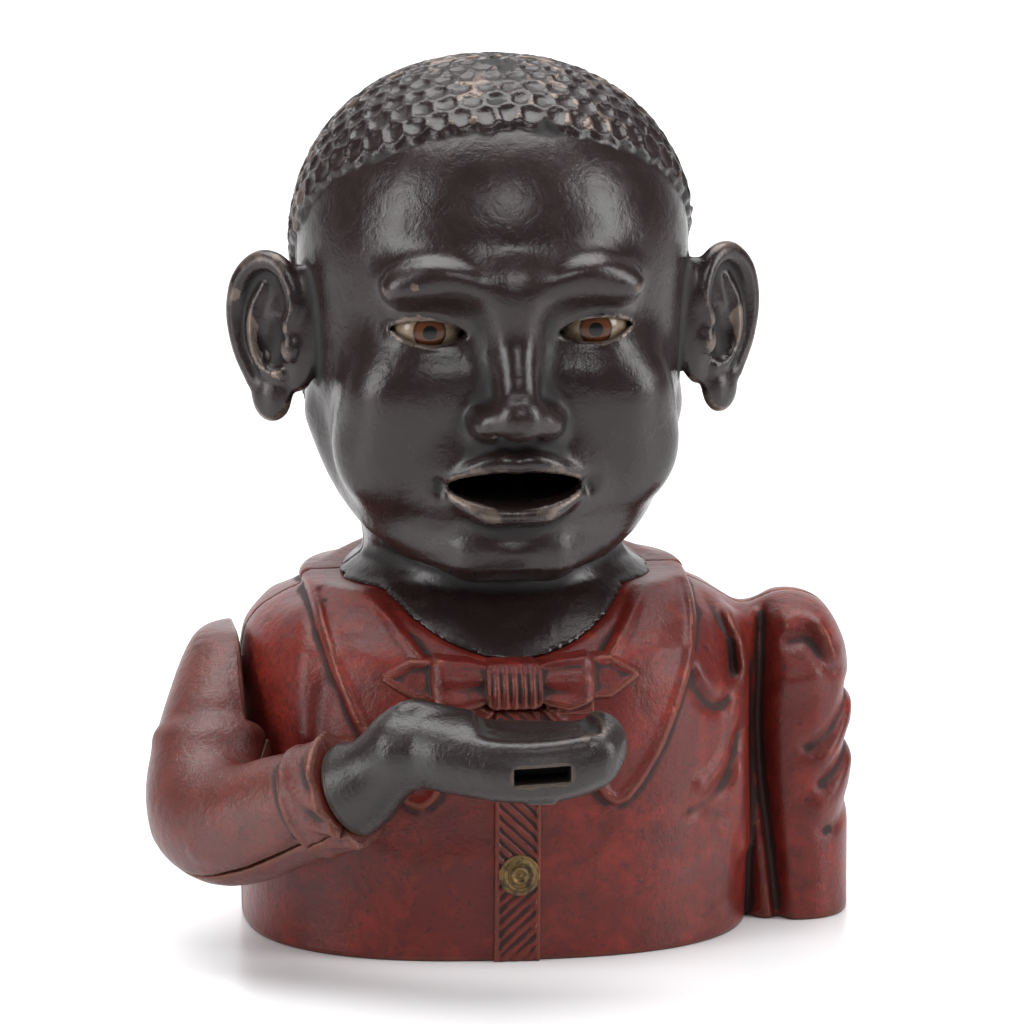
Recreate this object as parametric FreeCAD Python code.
import FreeCAD, Part
import math
import os

from FreeCAD import Vector as V

# Cast-iron mechanical bank: a hollow bust whose right arm lifts a coin to the mouth.
# Millimetres. +X is the figure's left, -Y is its front, +Z is up. The origin is the
# centre of the bounding box on the surface that the bank stands on.

# ---- driving dimensions -------------------------------------------------------------
HEIGHT = 165.0
WALL = 3.0  # cast wall of the bust
ARM_WALL = 2.6
SEAM_Y = 4.0  # plane where the front and back castings meet

# Outline of torso, neck and head by height: z, half width, front y, back y, and the
# exponent of the superellipse that the section follows.
BUST = [
    (0, 48.0, -37.0, 38.0, 2.5),
    (20, 48.5, -38.0, 38.5, 2.5),
    (40, 48.5, -38.0, 38.5, 2.4),
    (50, 48.3, -36.5, 38.0, 2.4),
    (56, 47.5, -33.5, 36.5, 2.4),
    (60, 45.0, -30.0, 34.5, 2.3),
    (63, 40.5, -27.0, 33.0, 2.2),
    (66, 34.0, -24.0, 32.0, 2.1),
    (69, 28.5, -21.5, 31.5, 2.0),
    (72, 25.5, -21.5, 31.5, 2.0),
    (75, 26.0, -28.0, 32.0, 2.0),
    (79, 28.6, -31.5, 33.5, 2.0),
    (86, 31.9, -33.0, 36.5, 2.0),
    (94, 34.8, -33.5, 39.5, 2.0),
    (104, 36.9, -34.0, 42.0, 2.0),
    (114, 38.0, -34.0, 43.8, 2.0),
    (126, 38.6, -34.5, 44.5, 2.0),
    (134, 38.4, -34.0, 44.0, 2.0),
    (142, 36.9, -31.0, 41.5, 2.0),
    (150, 32.8, -25.0, 36.0, 2.0),
    (156, 27.4, -18.5, 30.0, 2.0),
    (160, 21.6, -12.0, 23.5, 2.0),
    (163, 14.6, -5.5, 16.0, 2.0),
    (HEIGHT, 6.3, 1.0, 9.0, 2.0),
]
LEVELS = [0, 5, 11, 18, 26, 34, 41, 47, 52, 56, 59, 62, 65, 68, 71, 74, 77, 81, 87, 95]
LEVELS += [104, 113, 122, 131, 139, 146, 152, 157, 161, 164]

# Left sleeve, cast in one with the torso.
SLEEVE_X = 54.4
SLEEVE_HALF = (13.9, 16.5)
SLEEVE_SHOULDER_Z = 44.0
SLEEVE_TOP = 61.0

# Drive shaft, which carries the arm, the thumb lever and the crank of the pull rod.
SHAFT_Z = 48.0
SHAFT_R = 3.0
RUNNING = 0.05  # radial clearance of a turning shaft
LIFT_DEG = 43.0
CRANK_R = 12.0
SHAFT_END = (-57.0, 44.5)
ARM_FACE_X = -49.2

# Pull rod, tongue and eyes. Each crank swings equally above and below level.
ROD_TRAVEL = 2 * CRANK_R * math.sin(math.radians(LIFT_DEG / 2))
TONGUE_Y, TONGUE_Z, TONGUE_CRANK = -20.0, 83.5, 18.0
EYE_X, EYE_Y, EYE_Z, EYE_CRANK = 15.5, -22.0, 118.0, 20.0
EYE_R = 6.9
LINK_PIN_R = 1.25
SLOT_CLEAR = 0.2
ROD_HALF = 1.0  # half the thickness of the pull rod
CRANK_SIDE = (1.3, 3.5)  # x of the crank arms beside the rod

RELIEF = 1.4  # height of the collar and placket
TIE_Z, BUTTON_Z = 52.8, 16.8

# Mouth and eye openings in the face, and the ears, which end in front of the seam.
EAR_Y = -3.2
MOUTH_Z, MOUTH_HALF = 89.5, (13.0, 3.2)
EYE_SLOT = (7.0, 3.1)

# Centre line and radius of the arm from the top of the shoulder to the cuff.
ARM_PATH = [
    (-47.0, 8.6, 54.0, 3.0),
    (-47.2, 7.8, 53.2, 6.2),
    (-47.8, 5.6, 51.4, 9.0),
    (-48.8, 1.0, 48.0, 11.2),
    (-51.3, -5.6, 42.2, 11.9),
    (-53.8, -11.8, 36.6, 12.0),
    (-56.0, -17.5, 31.4, 11.9),
    (-56.3, -23.4, 27.6, 11.8),
    (-53.9, -29.9, 26.2, 11.5),
    (-49.5, -35.2, 27.5, 11.1),
    (-45.2, -38.8, 29.8, 10.8),
    (-41.0, -42.4, 32.0, 10.3),
    (-38.1, -44.8, 33.5, 9.9),
    (-36.0, -46.6, 34.6, 9.6),
]
CUFF = [(-39.8, -43.4, 32.6, 10.7), (-36.6, -46.1, 34.3, 10.9), (-32.4, -49.6, 36.6, 10.2)]
SHOULDER, ELBOW = V(-48.8, 1.0, 48.0), V(-55.4, -26.6, 26.5)
RIVET_POST = V(-42.5, -41.1, 31.2)
HAND_TOP = 50.3
ARM_GAP = 0.8  # between the arm and the torso

# Base plate, coin outlet and trap.
BASE_Z = (4.0, 6.5)
OUTLET = (-18.0, 1.0)
OUTLET_R = 13.5
TRAP_PIVOT = (4.0, 15.0)
TRAP_Z = (2.4, 3.9)

# Screws.
BODY_SCREW_Z = (30.0, 141.0)
BODY_SCREW_FACE_Y = (36.2, 38.6)
BODY_SCREW_R = 1.8
BASE_SCREW_Y = (-31.0, 31.5)
BASE_SCREW_R = 1.6

# Thumb lever.
LEVER_X = 32.0
LEVER_HALF = 2.0
LEVER_DEG = 4.0
LEVER_R = 69.5

AXIS_X = V(1, 0, 0)
AXIS_Y = V(0, 1, 0)
AXIS_Z = V(0, 0, 1)


# ---- helpers ------------------------------------------------------------------------
def monotone(xs, ys):
    """A smooth curve through the points that never overshoots between them."""
    n = len(xs)
    slope = [(ys[i + 1] - ys[i]) / (xs[i + 1] - xs[i]) for i in range(n - 1)]
    tangent = [slope[0]]
    for i in range(1, n - 1):
        a, b = slope[i - 1], slope[i]
        tangent.append(0.0 if a * b <= 0 else 2 * a * b / (a + b))
    tangent.append(slope[-1])

    def curve(x):
        x = min(max(x, xs[0]), xs[-1])
        i = next(k for k in range(n - 1) if x <= xs[k + 1])
        h = xs[i + 1] - xs[i]
        t = (x - xs[i]) / h
        start = (2 * t**3 - 3 * t**2 + 1) * ys[i] + (t**3 - 2 * t**2 + t) * h * tangent[i]
        end = (3 * t**2 - 2 * t**3) * ys[i + 1] + (t**3 - t**2) * h * tangent[i + 1]
        return start + end

    return curve


BUST_CURVES = [monotone([row[0] for row in BUST], [row[k] for row in BUST]) for k in range(1, 5)]


def bust_section(z):
    """Half width, depth in front of the seam and depth behind it."""
    half, front, back = (BUST_CURVES[k](z) for k in range(3))
    return [half, SEAM_Y - front, back - SEAM_Y]


def sleeve_section(z):
    """Half width and half depth of the left sleeve."""
    rise = max(0.0, (z - SLEEVE_SHOULDER_Z) / (SLEEVE_TOP - SLEEVE_SHOULDER_Z))
    share = max(0.0, 1 - rise**2.2) ** (1 / 2.2)
    return [SLEEVE_HALF[0] * share, SLEEVE_HALF[1] * share]


def offset_section(section, z, grow):
    """The section at z of the outline moved outwards by grow, or inwards if it is negative."""
    pick = max if grow > 0 else min
    best = section(z)
    for k in range(-8, 9):
        angle = k / 8 * math.pi / 2
        level = z + grow * math.sin(angle)
        moved = [v + grow * math.cos(angle) for v in section(level)]
        best = [pick(a, b) for a, b in zip(best, moved)]
    return best


def superellipse(centre, u, v, halves, exponent, count=20):
    """A smooth closed wire. halves is (along u, along -v, along +v)."""
    points = []
    for i in range(count):
        c, s = math.cos(2 * math.pi * i / count), math.sin(2 * math.pi * i / count)
        along = halves[0] * math.copysign(abs(c) ** (2 / exponent), c)
        across = (halves[2] if s > 0 else halves[1]) * math.copysign(abs(s) ** (2 / exponent), s)
        points.append(centre + u * along + v * across)
    curve = Part.BSplineCurve()
    curve.interpolate(points, PeriodicFlag=True)
    return Part.Wire(curve.toShape())


def loft(wires):
    return Part.makeLoft(wires, True, False)


def bust(grow=0.0, levels=None):
    """The torso, neck and head as one solid, grown or shrunk by a distance."""
    rings = []
    for z in levels or LEVELS + [HEIGHT]:
        half, front, back = offset_section(bust_section, max(z, 0), grow)
        centre = V(0, SEAM_Y, z)
        rings.append(superellipse(centre, AXIS_X, AXIS_Y, (half, front, back), BUST_CURVES[3](z)))
    return loft(rings)


def left_sleeve(grow=0.0, bottom=0.0):
    rings = []
    top = SLEEVE_TOP + grow
    rise = top - SLEEVE_SHOULDER_Z
    levels = [bottom, 10, 20, 30, 38]
    levels += [SLEEVE_SHOULDER_Z + rise * s for s in (0, 0.25, 0.45, 0.62, 0.76, 0.88, 0.96)]
    for z in levels:
        half, depth = offset_section(sleeve_section, z, grow)
        rings.append(superellipse(V(SLEEVE_X, SEAM_Y, z), AXIS_X, AXIS_Y, (half, depth, depth), 2.4))
    return loft(rings)


def rod(start, direction, radius, length):
    return Part.makeCylinder(radius, length, start, direction)


def along_x(radius, x0, x1, y, z):
    return rod(V(x0, y, z), AXIS_X, radius, x1 - x0)


def block(x0, x1, y0, y1, z0, z1):
    return Part.makeBox(x1 - x0, y1 - y0, z1 - z0, V(x0, y0, z0))


def fused(first, *others):
    return first.fuse(list(others)).removeSplitter()


def cut(body, *tools):
    for tool in tools:
        body = body.cut(tool)
    return body


def link_face(p, rp, q, rq):
    """The outline of two discs and their common tangents, as a face in the XY plane."""
    p, q = V(*p, 0), V(*q, 0)
    span = q - p
    turn = math.acos((rp - rq) / span.Length)
    heading = math.atan2(span.y, span.x)

    def on(centre, radius, angle):
        return centre + V(radius * math.cos(angle), radius * math.sin(angle), 0)

    left, right = heading + turn, heading - turn
    edges = [
        Part.LineSegment(on(p, rp, right), on(q, rq, right)).toShape(),
        Part.Arc(on(q, rq, right), on(q, rq, heading), on(q, rq, left)).toShape(),
        Part.LineSegment(on(q, rq, left), on(p, rp, left)).toShape(),
        Part.Arc(on(p, rp, left), on(p, rp, heading + math.pi), on(p, rp, right)).toShape(),
    ]
    return Part.Face(Part.Wire(edges))


def link_z(p, rp, q, rq, z0, z1):
    """A flat link in the XY plane between two round ends."""
    face = link_face(p, rp, q, rq)
    face.translate(V(0, 0, z0))
    return face.extrude(V(0, 0, z1 - z0))


def link_x(p, rp, q, rq, x0, x1):
    """A flat link in the YZ plane. p and q are (y, z)."""
    face = link_face(p, rp, q, rq)
    to_yz = FreeCAD.Matrix(0, 0, 1, x0, 1, 0, 0, 0, 0, 1, 0, 0, 0, 0, 0, 1)
    return face.transformed(to_yz).extrude(V(x1 - x0, 0, 0))


def prism_y(points, y0, y1):
    """A prism along Y over a closed outline of (x, z) points."""
    loop = [V(x, y0, z) for x, z in points]
    face = Part.Face(Part.makePolygon(loop + loop[:1]))
    return face.extrude(V(0, y1 - y0, 0))


def oval_y(x, z, halves, y0, y1, exponent=2.6):
    wire = superellipse(V(x, y0, z), AXIS_X, AXIS_Z, (halves[0], halves[1], halves[1]), exponent)
    return Part.Face(wire).extrude(V(0, y1 - y0, 0))


def swing(y, z, radius, degrees):
    """The point (y, z) at that radius and angle above level, behind a pivot."""
    angle = math.radians(degrees)
    return (y + radius * math.cos(angle), z + radius * math.sin(angle))


def half_swing(radius):
    return math.degrees(math.asin(ROD_TRAVEL / 2 / radius))


TONGUE_HALF, EYE_HALF = half_swing(TONGUE_CRANK), half_swing(EYE_CRANK)
SHAFT_PIN = swing(SEAM_Y, SHAFT_Z, CRANK_R, LIFT_DEG / 2)
TONGUE_PIN = swing(TONGUE_Y, TONGUE_Z, TONGUE_CRANK, TONGUE_HALF)
EYE_PIN = swing(EYE_Y, EYE_Z, EYE_CRANK, EYE_HALF)


# ---- castings of the bust -----------------------------------------------------------
def cavity():
    """The hollow inside, open at the bottom."""
    top = HEIGHT - WALL - 1
    inner_levels = [-1] + [z for z in LEVELS[1:] if z < top - 1] + [top]
    return fused(bust(-WALL, inner_levels), left_sleeve(-WALL, -1))


def ears():
    pair = []
    sections = [(97.5, 1.5, 2.0, 38.5), (101, 4.2, 4.5, 40.4), (110, 6.2, 6.0, 42.2)]
    sections += [(120, 6.6, 6.6, 42.6), (127, 5.5, 5.3, 41.4), (130.5, 2.0, 2.5, 40.0)]
    for side in (-1, 1):
        wires = []
        for z, half, thick, x in sections:
            centre = V(side * x, EAR_Y, z)
            wires.append(superellipse(centre, AXIS_X, AXIS_Y, (thick, half, half), 2.0, 12))
        pair.append(loft(wires))
    return pair


def nose():
    wires = []
    for z, half, reach in [(99.6, 4.5, 5.0), (101.5, 6.6, 8.4), (105, 5.8, 7.6), (112, 3.6, 4.5), (120, 2.6, 2.0)]:
        wires.append(superellipse(V(0, -33.0, z), AXIS_X, AXIS_Y, (half, reach, 1.2), 2.0, 12))
    return loft(wires)


def front_relief():
    """Collar, placket, lips, bow tie and button, raised from the front casting."""
    skin = bust(RELIEF, [z for z in LEVELS if z <= 97])
    raised = [skin.common(block(-4.4, 4.4, -60, -30, 0.5, 46))]
    for side in (-1, 1):
        outline = [(13, 62), (26, 68), (32, 66), (30, 56), (25, 41), (20, 30), (16.5, 31), (10, 52)]
        raised.append(skin.common(prism_y([(side * x, z) for x, z in outline], -60, -15)))
    raised.append(oval_y(0, MOUTH_Z, (MOUTH_HALF[0] + 2.5, MOUTH_HALF[1] + 3.0), -35.2, -28.5))
    raised.append(oval_y(0, TIE_Z, (22.0, 5.2), -39.0, -30.0, 3.0))
    raised.append(oval_y(0, TIE_Z, (5.5, 5.8), -40.9, -30.0, 3.0))
    raised.append(rod(V(0, -40.6, BUTTON_Z), AXIS_Y, 3.8, 4.2))
    return raised


def eyelids():
    lids, sockets = [], []
    for side in (-1, 1):
        centre = V(side * EYE_X, EYE_Y, EYE_Z)
        lid = Part.makeSphere(EYE_R + 1.8, centre)
        lids.append(lid.common(block(-60, 60, -60, EYE_Y - 4, 100, 136)))
        socket = Part.makeSphere(EYE_R + 0.4, centre)
        slot = oval_y(side * EYE_X, EYE_Z, EYE_SLOT, -50, EYE_Y, 2.2)
        sockets.append(socket.fuse(slot))
    return lids, sockets


def shaft_bearings():
    """A boss in the right wall and a web inside the left one, both split by the seam."""
    boss = along_x(7.5, -47.5, -41.0, SEAM_Y, SHAFT_Z)
    web = block(38.0, 41.0, -30, 36, SHAFT_Z - 9, SHAFT_Z + 8).common(bust())
    return boss, web


def inner_lugs():
    """Lugs on the face wall that carry the tongue's pin and the eye bar."""
    lugs, bores = [], []
    for side in (-1, 1):
        x0, x1 = sorted((side * 10.2, side * 13.2))
        lugs.append(link_x((-25.6, TONGUE_Z - 1), 2.6, (TONGUE_Y, TONGUE_Z), 2.6, x0, x1))
        x0, x1 = sorted((side * 4.9, side * 7.4))
        lugs.append(link_x((-29.6, EYE_Z), 3.0, (EYE_Y, EYE_Z), 3.4, x0, x1))
    bores.append(along_x(LINK_PIN_R, -16, 16, TONGUE_Y, TONGUE_Z))
    bores.append(along_x(1.5 + RUNNING, -8.3, 8.3, EYE_Y, EYE_Z))
    return lugs, bores


def halves(shape):
    """The parts of a shape in front of the seam and behind it."""
    front = block(-150, 150, -200, SEAM_Y, -50, 300)
    return shape.common(front), shape.cut(front)


def body_screw_posts():
    """Posts from the front wall and tubes from the back wall that the long screws join."""
    posts, tubes, holes = [], [], []
    for z, face_y in zip(BODY_SCREW_Z, BODY_SCREW_FACE_Y):
        front_y = SEAM_Y - bust_section(z)[1] + WALL / 2
        posts.append(rod(V(0, front_y, z), AXIS_Y, 4.8, SEAM_Y - front_y))
        tubes.append(rod(V(0, SEAM_Y, z), AXIS_Y, 5.6, face_y - SEAM_Y))
        thread = rod(V(0, -14, z), AXIS_Y, BODY_SCREW_R, 30)
        clearance = rod(V(0, SEAM_Y, z), AXIS_Y, BODY_SCREW_R + 0.3, 50)
        spotface = rod(V(0, face_y, z), AXIS_Y, 4.2, 20)
        holes.append(fused(thread, clearance, spotface))
    return posts, tubes, holes


def bust_castings():
    lids, sockets = eyelids()
    boss, web = shaft_bearings()
    lugs, bores = inner_lugs()
    posts, tubes, screw_holes = body_screw_posts()
    feet = [rod(V(0, y, BASE_Z[1]), AXIS_Z, 4.6, 9) for y in BASE_SCREW_Y]
    taps = [rod(V(0, y, 0), AXIS_Z, BASE_SCREW_R, 15) for y in BASE_SCREW_Y]
    shaft_hole = along_x(SHAFT_R + RUNNING, -55, 41.5, SEAM_Y, SHAFT_Z)
    solid_front, solid_back = halves(bust().fuse(left_sleeve()))
    hollow = cavity()
    boss_front, boss_back = halves(boss)
    web_front, web_back = halves(web)

    front = solid_front.fuse([nose(), *ears(), *front_relief(), *lids]).cut(hollow)
    front = front.fuse([boss_front, web_front, feet[0], *lugs, *posts])
    mouth = oval_y(0, MOUTH_Z, MOUTH_HALF, -60, -24)
    tongue_room = along_x(9.3, -9.5, 9.5, TONGUE_Y, TONGUE_Z)
    tongue_room = tongue_room.common(block(-20, 20, -45, TONGUE_Y, TONGUE_Z - 1.8, 92))
    front = cut(front, *sockets, *bores, mouth, tongue_room, shaft_hole, *screw_holes, taps[0])

    lever_slot = block(LEVER_X - 2.5, LEVER_X + 2.5, 22, 60, 15.0, 55.5)
    back = solid_back.cut(hollow).fuse([boss_back, web_back, feet[1], *tubes])
    back = cut(back, lever_slot, shaft_hole, *screw_holes, taps[1])
    return largest(front), largest(back)


# ---- arm ----------------------------------------------------------------------------
BEND_NORMAL = (ELBOW - SHOULDER).cross(V(*CUFF[0][:3]) - ELBOW).normalize()


def tube(path, inset=0.0):
    """A solid with a round section that follows the centres in path."""
    centres = [V(*row[:3]) for row in path]
    wires = []
    for i, (centre, row) in enumerate(zip(centres, path)):
        heading = (centres[min(i + 1, len(path) - 1)] - centres[max(i - 1, 0)]).normalize()
        side = BEND_NORMAL.cross(heading).normalize()
        radius = row[3] - inset
        wires.append(superellipse(centre, side, heading.cross(side), (radius,) * 3, 2.0))
    return loft(wires)


def hand():
    """Wrist, cupped palm and fingers, with the coin seat and the slot in its outer edge."""
    along = V(0.64, -0.62, 0.39)
    stations = [
        (V(-33.4, -46.6, 35.8), along, 6.6, 6.6, 2.2),
        (V(-29.0, -51.0, 38.2), along, 6.4, 6.8, 2.2),
        (V(-24.0, -54.8, 41.0), V(0.82, -0.5, 0.28), 6.8, 7.8, 2.2),
        (V(-17.0, -57.8, 43.4), V(0.9, -0.4, 0.2), 7.8, 8.2, 2.5),
        (V(-9.0, -60.6, 44.2), V(0.95, -0.3, 0.1), 9.2, 8.2, 2.8),
        (V(-0.5, -62.0, 44.4), V(1, -0.12, 0.03), 9.8, 8.0, 3.0),
        (V(6.0, -62.4, 44.8), V(1, 0, 0.03), 9.4, 7.6, 3.0),
        (V(11.0, -62.6, 45.8), V(1, 0.05, 0.1), 8.4, 6.8, 2.6),
        (V(14.6, -62.4, 46.8), V(1, 0.1, 0.2), 6.2, 5.2, 2.2),
        (V(16.4, -62.2, 47.2), V(1, 0.1, 0.2), 3.0, 2.4, 2.0),
    ]
    wires = []
    for centre, heading, depth, height, exponent in stations:
        heading = V(heading).normalize()
        side = heading.cross(AXIS_Z).normalize()
        wires.append(superellipse(centre, side, side.cross(heading), (depth, height, height), exponent))
    coin_room = rod(V(0, -62.0, HAND_TOP), AXIS_Z, 11.0, 12)
    chute = block(-11.0, 11.0, -62.0, -46, HAND_TOP, HAND_TOP + 12)
    slot = block(-5.2, 5.4, -80, -64, 41.6, 44.8)
    return cut(loft(wires), fused(coin_room, chute), slot)


def arm_castings():
    """The hollow arm, split where its halves part. The hand is cast with the outer half."""
    levels = [z for z in LEVELS if z <= 71]
    hollow = cut(
        tube(ARM_PATH[1:-2], ARM_WALL),
        along_x(27, ARM_FACE_X - ARM_WALL, -20, SEAM_Y, SHAFT_Z),
        bust(ARM_GAP + ARM_WALL, levels),
    )
    outer = tube(ARM_PATH).fuse(tube(CUFF))
    inside = [along_x(6.5, -60.0, ARM_FACE_X, SEAM_Y, SHAFT_Z)]
    inside += [rod(head, BEND_NORMAL, 2.8, 22.0) for head in arm_rivet_heads()]
    shell = outer.cut(hollow).fuse([piece.common(outer) for piece in inside])
    shell = cut(
        shell,
        along_x(24, ARM_FACE_X, -20, SEAM_Y, SHAFT_Z),
        bust(ARM_GAP, levels),
        along_x(SHAFT_R, SHAFT_END[0], -40, SEAM_Y, SHAFT_Z),
        arm_pin(),
    )
    side = Part.makeBox(200, 200, 200, V(-100, -100, 0))
    side.Placement = FreeCAD.Placement(SHOULDER, FreeCAD.Rotation(AXIS_Z, BEND_NORMAL), V(0, 0, 0))
    palm = hand()
    holes = arm_rivets()
    holes += [rod(head - BEND_NORMAL * 8, BEND_NORMAL, 2.4, 8) for head in arm_rivet_heads()]
    outer_half = cut(shell.common(side).fuse(palm), *holes)
    inner_half = cut(shell.cut(side), palm, *holes)
    return largest(outer_half), largest(inner_half)


def arm_rivet_heads():
    return [ELBOW - BEND_NORMAL * 9.6, RIVET_POST - BEND_NORMAL * 8.2]


def arm_rivets():
    """Two countersunk rivets from the inner half into posts of the outer half."""
    rivets = []
    for head in arm_rivet_heads():
        shank = rod(head, BEND_NORMAL, 1.2, 14)
        rivets.append(shank.fuse(Part.makeCone(2.4, 1.2, 1.4, head, BEND_NORMAL)).removeSplitter())
    return rivets


def arm_pin():
    return rod(V(-53.0, SEAM_Y, SHAFT_Z - 6.0), AXIS_Z, 1.0, 12.0)


def largest(shape):
    return max(shape.Solids, key=lambda solid: solid.Volume)


# ---- shaft, lever and linkage -------------------------------------------------------
def pin_z(x):
    return rod(V(x, SEAM_Y, SHAFT_Z - 6.2), AXIS_Z, 1.0, 12.4)


CRANK_PIN_X, LEVER_PIN_X = 5.4, 32.0


def arm_shaft():
    shaft = along_x(SHAFT_R, *SHAFT_END, SEAM_Y, SHAFT_Z)
    return cut(shaft, pin_z(CRANK_PIN_X), pin_z(LEVER_PIN_X), arm_pin())


def shaft_collar():
    ring = along_x(5.4, 41.3, 44.2, SEAM_Y, SHAFT_Z)
    return ring.cut(along_x(SHAFT_R, 40, 46, SEAM_Y, SHAFT_Z))


def crank(pivot, bore, hub_r, hub_end, pin, end_r):
    """A hub with a flat arm that carries the pin of the pull rod."""
    x0, x1 = CRANK_SIDE
    arm = link_x(pivot, hub_r, pin, end_r, x0, x1)
    body = fused(arm, along_x(hub_r, x0, hub_end, *pivot))
    return cut(body, along_x(bore, -20, 20, *pivot), along_x(LINK_PIN_R, -20, 20, *pin))


def link_pin(pin):
    """A headed pin, riveted into the crank, that runs in a slot of the pull rod."""
    head = along_x(2.2, -ROD_HALF - 1.4, -ROD_HALF - 0.3, *pin)
    return fused(along_x(LINK_PIN_R, -ROD_HALF - 1.4, CRANK_SIDE[1], *pin), head)


def rod_crank():
    return crank((SEAM_Y, SHAFT_Z), SHAFT_R, 6.0, 8.4, SHAFT_PIN, 3.2).cut(pin_z(CRANK_PIN_X))


def thumb_lever():
    pivot = (SEAM_Y, SHAFT_Z)
    knee = swing(*pivot, 40.0, LEVER_DEG)
    tip = swing(*pivot, LEVER_R - 3.0, LEVER_DEG)
    x0, x1 = LEVER_X - LEVER_HALF, LEVER_X + LEVER_HALF
    arm = fused(link_x(pivot, 6.5, knee, 3.4, x0, x1), link_x(knee, 3.4, tip, 3.0, x0, x1))
    hub = along_x(6.5, LEVER_X - 4, LEVER_X + 4, *pivot)
    pad_face = Part.Face(superellipse(V(LEVER_X, 0, 0), AXIS_X, AXIS_Y, (7.5, 8.5, 8.5), 2.6))
    pad = pad_face.extrude(V(0, 0, 3.2))
    pad.rotate(V(0, 0, 0), AXIS_X, LEVER_DEG)
    middle = swing(*pivot, LEVER_R - 8.5, LEVER_DEG)
    pad.translate(V(0, middle[0], middle[1] + 0.6))
    body = fused(arm, hub, pad)
    return cut(body, along_x(SHAFT_R, 20, 45, *pivot), pin_z(LEVER_PIN_X))


def pull_rod():
    """A cranked flat strip with a short level slot for each of the three pins."""
    low, knee = (15.5, SHAFT_PIN[1]), (15.5, SHAFT_PIN[1] + 8.0)
    bend, high = (-2.3, TONGUE_PIN[1] - 8.0), (-2.3, EYE_PIN[1])
    strips = []
    for p, rp, q, rq in [(low, 4.4, knee, 3.4), (knee, 3.4, bend, 3.4), (bend, 3.4, high, 4.4)]:
        strips.append(link_x(p, rp, q, rq, -ROD_HALF, ROD_HALF))
    strips.append(along_x(4.6, -ROD_HALF, ROD_HALF, -2.3, TONGUE_PIN[1]))
    body = fused(*strips)
    slot_r = LINK_PIN_R + SLOT_CLEAR
    pins = [
        (SHAFT_PIN, CRANK_R, LIFT_DEG / 2),
        (TONGUE_PIN, TONGUE_CRANK, TONGUE_HALF),
        (EYE_PIN, EYE_CRANK, EYE_HALF),
    ]
    for (y, z), radius, degrees in pins:
        end = y + 0.1 + radius * (1 - math.cos(math.radians(degrees)))
        body = body.cut(link_x((y - 0.1, z), slot_r, (end, z), slot_r, -3, 3))
    return body


def tongue():
    """A flat tongue on a tubular hub, with a tail that the pull rod draws down."""
    pivot = (TONGUE_Y, TONGUE_Z)
    hub = along_x(3.0, -9.4, 9.4, *pivot)
    x0, x1 = CRANK_SIDE
    tail = link_x(pivot, 3.0, TONGUE_PIN, 3.0, x0, x1)
    outline = superellipse(V(0, TONGUE_Y - 0.5, TONGUE_Z - 1.1), AXIS_X, AXIS_Y, (8.6, 8.0, 1.0), 2.6)
    plate = Part.Face(outline).extrude(V(0, 0, 2.4))
    body = fused(hub, tail, plate)
    bore = along_x(LINK_PIN_R + RUNNING, -20, 20, *pivot)
    return cut(body, bore, along_x(LINK_PIN_R, -20, 20, *TONGUE_PIN))


def tongue_pivot_pin():
    return along_x(LINK_PIN_R, -13.9, 13.9, TONGUE_Y, TONGUE_Z)


def eye_bar():
    return along_x(1.5, -18.0, 18.0, EYE_Y, EYE_Z)


def eyeball(side):
    ball = Part.makeSphere(EYE_R, V(side * EYE_X, EYE_Y, EYE_Z))
    return ball.cut(eye_bar())


def eye_crank():
    return crank((EYE_Y, EYE_Z), 1.5, 3.2, 4.6, EYE_PIN, 3.0)


# ---- base, trap and fasteners -------------------------------------------------------
def base_plate():
    grow = -WALL - 0.35
    half, front, back = offset_section(bust_section, BASE_Z[0], grow)
    torso = superellipse(V(0, SEAM_Y, BASE_Z[0]), AXIS_X, AXIS_Y, (half, front, back), BUST[0][4])
    half, depth = offset_section(sleeve_section, BASE_Z[0], grow)
    sleeve = superellipse(V(SLEEVE_X, SEAM_Y, BASE_Z[0]), AXIS_X, AXIS_Y, (half, depth, depth), 2.4)
    up = V(0, 0, BASE_Z[1] - BASE_Z[0])
    plate = fused(Part.Face(torso).extrude(up), Part.Face(sleeve).extrude(up))
    holes = [rod(V(*OUTLET, 0), AXIS_Z, OUTLET_R, 10), rod(V(*TRAP_PIVOT, 0), AXIS_Z, 2.0, 10)]
    holes += [base_screw(y) for y in BASE_SCREW_Y]
    return cut(plate, *holes)


def base_screw(y):
    head = Part.makeCone(3.3, BASE_SCREW_R, 1.8, V(0, y, BASE_Z[0]), AXIS_Z)
    return head.fuse(rod(V(0, y, BASE_Z[0]), AXIS_Z, BASE_SCREW_R, 10.5)).removeSplitter()


def base_screws():
    driver = [block(-4, 4, y - 0.4, y + 0.4, BASE_Z[0] - 1, BASE_Z[0] + 0.8) for y in BASE_SCREW_Y]
    return [base_screw(y).cut(slot) for y, slot in zip(BASE_SCREW_Y, driver)]


def body_screws():
    screws = []
    for z, face_y in zip(BODY_SCREW_Z, BODY_SCREW_FACE_Y):
        shank = rod(V(0, -14, z), AXIS_Y, BODY_SCREW_R, face_y + 14)
        head = rod(V(0, face_y, z), AXIS_Y, 3.9, 2.6)
        slot = block(-5, 5, face_y + 1.4, face_y + 5, z - 0.5, z + 0.5)
        screws.append(fused(shank, head).cut(slot))
    return screws


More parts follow.
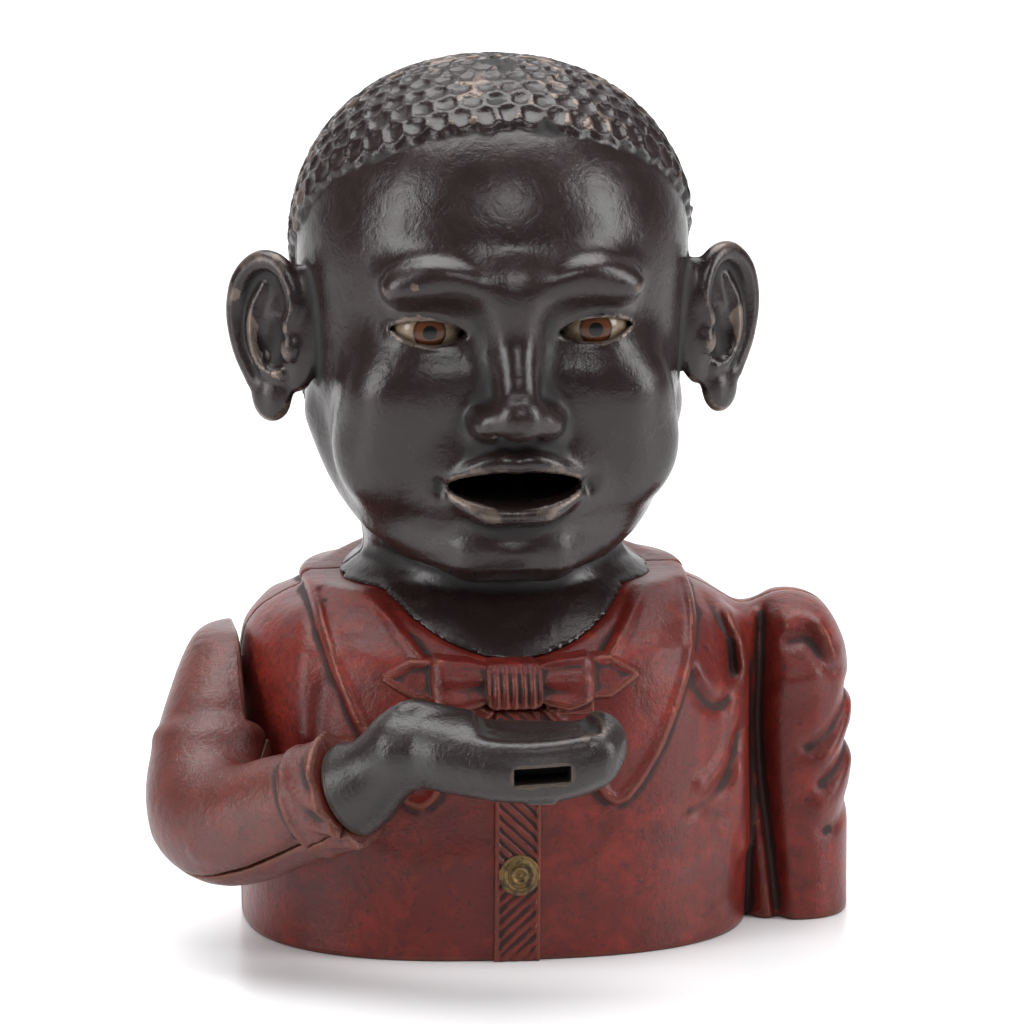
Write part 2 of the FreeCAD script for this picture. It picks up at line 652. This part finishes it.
def trap_cover():
    plate = link_z(OUTLET, OUTLET_R + 2.5, TRAP_PIVOT, 5.5, *TRAP_Z)
    ends = (OUTLET[0] - 8, OUTLET[1] - 9), (OUTLET[0] + 4, OUTLET[1] - 11.5)
    grip = link_z(ends[0], 1.3, ends[1], 1.3, TRAP_Z[0] - 1.4, TRAP_Z[0])
    return fused(plate, grip).cut(rod(V(*TRAP_PIVOT, 0), AXIS_Z, 2.0 + RUNNING, 10))


def trap_washer():
    ring = rod(V(*TRAP_PIVOT, TRAP_Z[0] - 0.5), AXIS_Z, 4.2, 0.5)
    return ring.cut(rod(V(*TRAP_PIVOT, 0), AXIS_Z, 2.0, 10))


def trap_rivet():
    low = TRAP_Z[0] - 0.5
    heads = [rod(V(*TRAP_PIVOT, low - 1.2), AXIS_Z, 3.8, 1.2), rod(V(*TRAP_PIVOT, BASE_Z[1]), AXIS_Z, 3.6, 1.2)]
    return fused(rod(V(*TRAP_PIVOT, low - 1.2), AXIS_Z, 2.0, BASE_Z[1] + 2.4 - low), *heads)


# ---- export -------------------------------------------------------------------------
def save(name, *solids):
    shape = solids[0] if len(solids) == 1 else Part.makeCompound(list(solids))
    assert shape.isValid(), name
    shape.exportStep(os.path.join("parts", name + ".step"))
    print(name, len(shape.Solids), round(shape.Volume / 1000, 2), "cm3")


def main():
    os.makedirs("parts", exist_ok=True)
    front, back = bust_castings()
    save("front_casting", front)
    save("back_casting", back)
    outer_half, inner_half = arm_castings()
    save("arm_outer_half", outer_half)
    save("arm_inner_half", inner_half)
    save("arm_rivets", *arm_rivets())
    save("arm_pin", arm_pin())
    save("arm_shaft", arm_shaft())
    save("shaft_collar", shaft_collar())
    save("thumb_lever", thumb_lever())
    save("lever_pin", pin_z(LEVER_PIN_X))
    save("rod_crank", rod_crank())
    save("crank_pin", pin_z(CRANK_PIN_X))
    save("crank_link_pin", link_pin(SHAFT_PIN))
    save("pull_rod", pull_rod())
    save("tongue", tongue())
    save("tongue_pivot_pin", tongue_pivot_pin())
    save("tongue_link_pin", link_pin(TONGUE_PIN))
    save("eye_bar", eye_bar())
    save("eye_crank", eye_crank())
    save("eye_link_pin", link_pin(EYE_PIN))
    save("right_eye", eyeball(-1))
    save("left_eye", eyeball(1))
    save("base_plate", base_plate())
    save("base_screws", *base_screws())
    save("body_screws", *body_screws())
    save("trap_cover", trap_cover())
    save("trap_washer", trap_washer())
    save("trap_rivet", trap_rivet())


main()
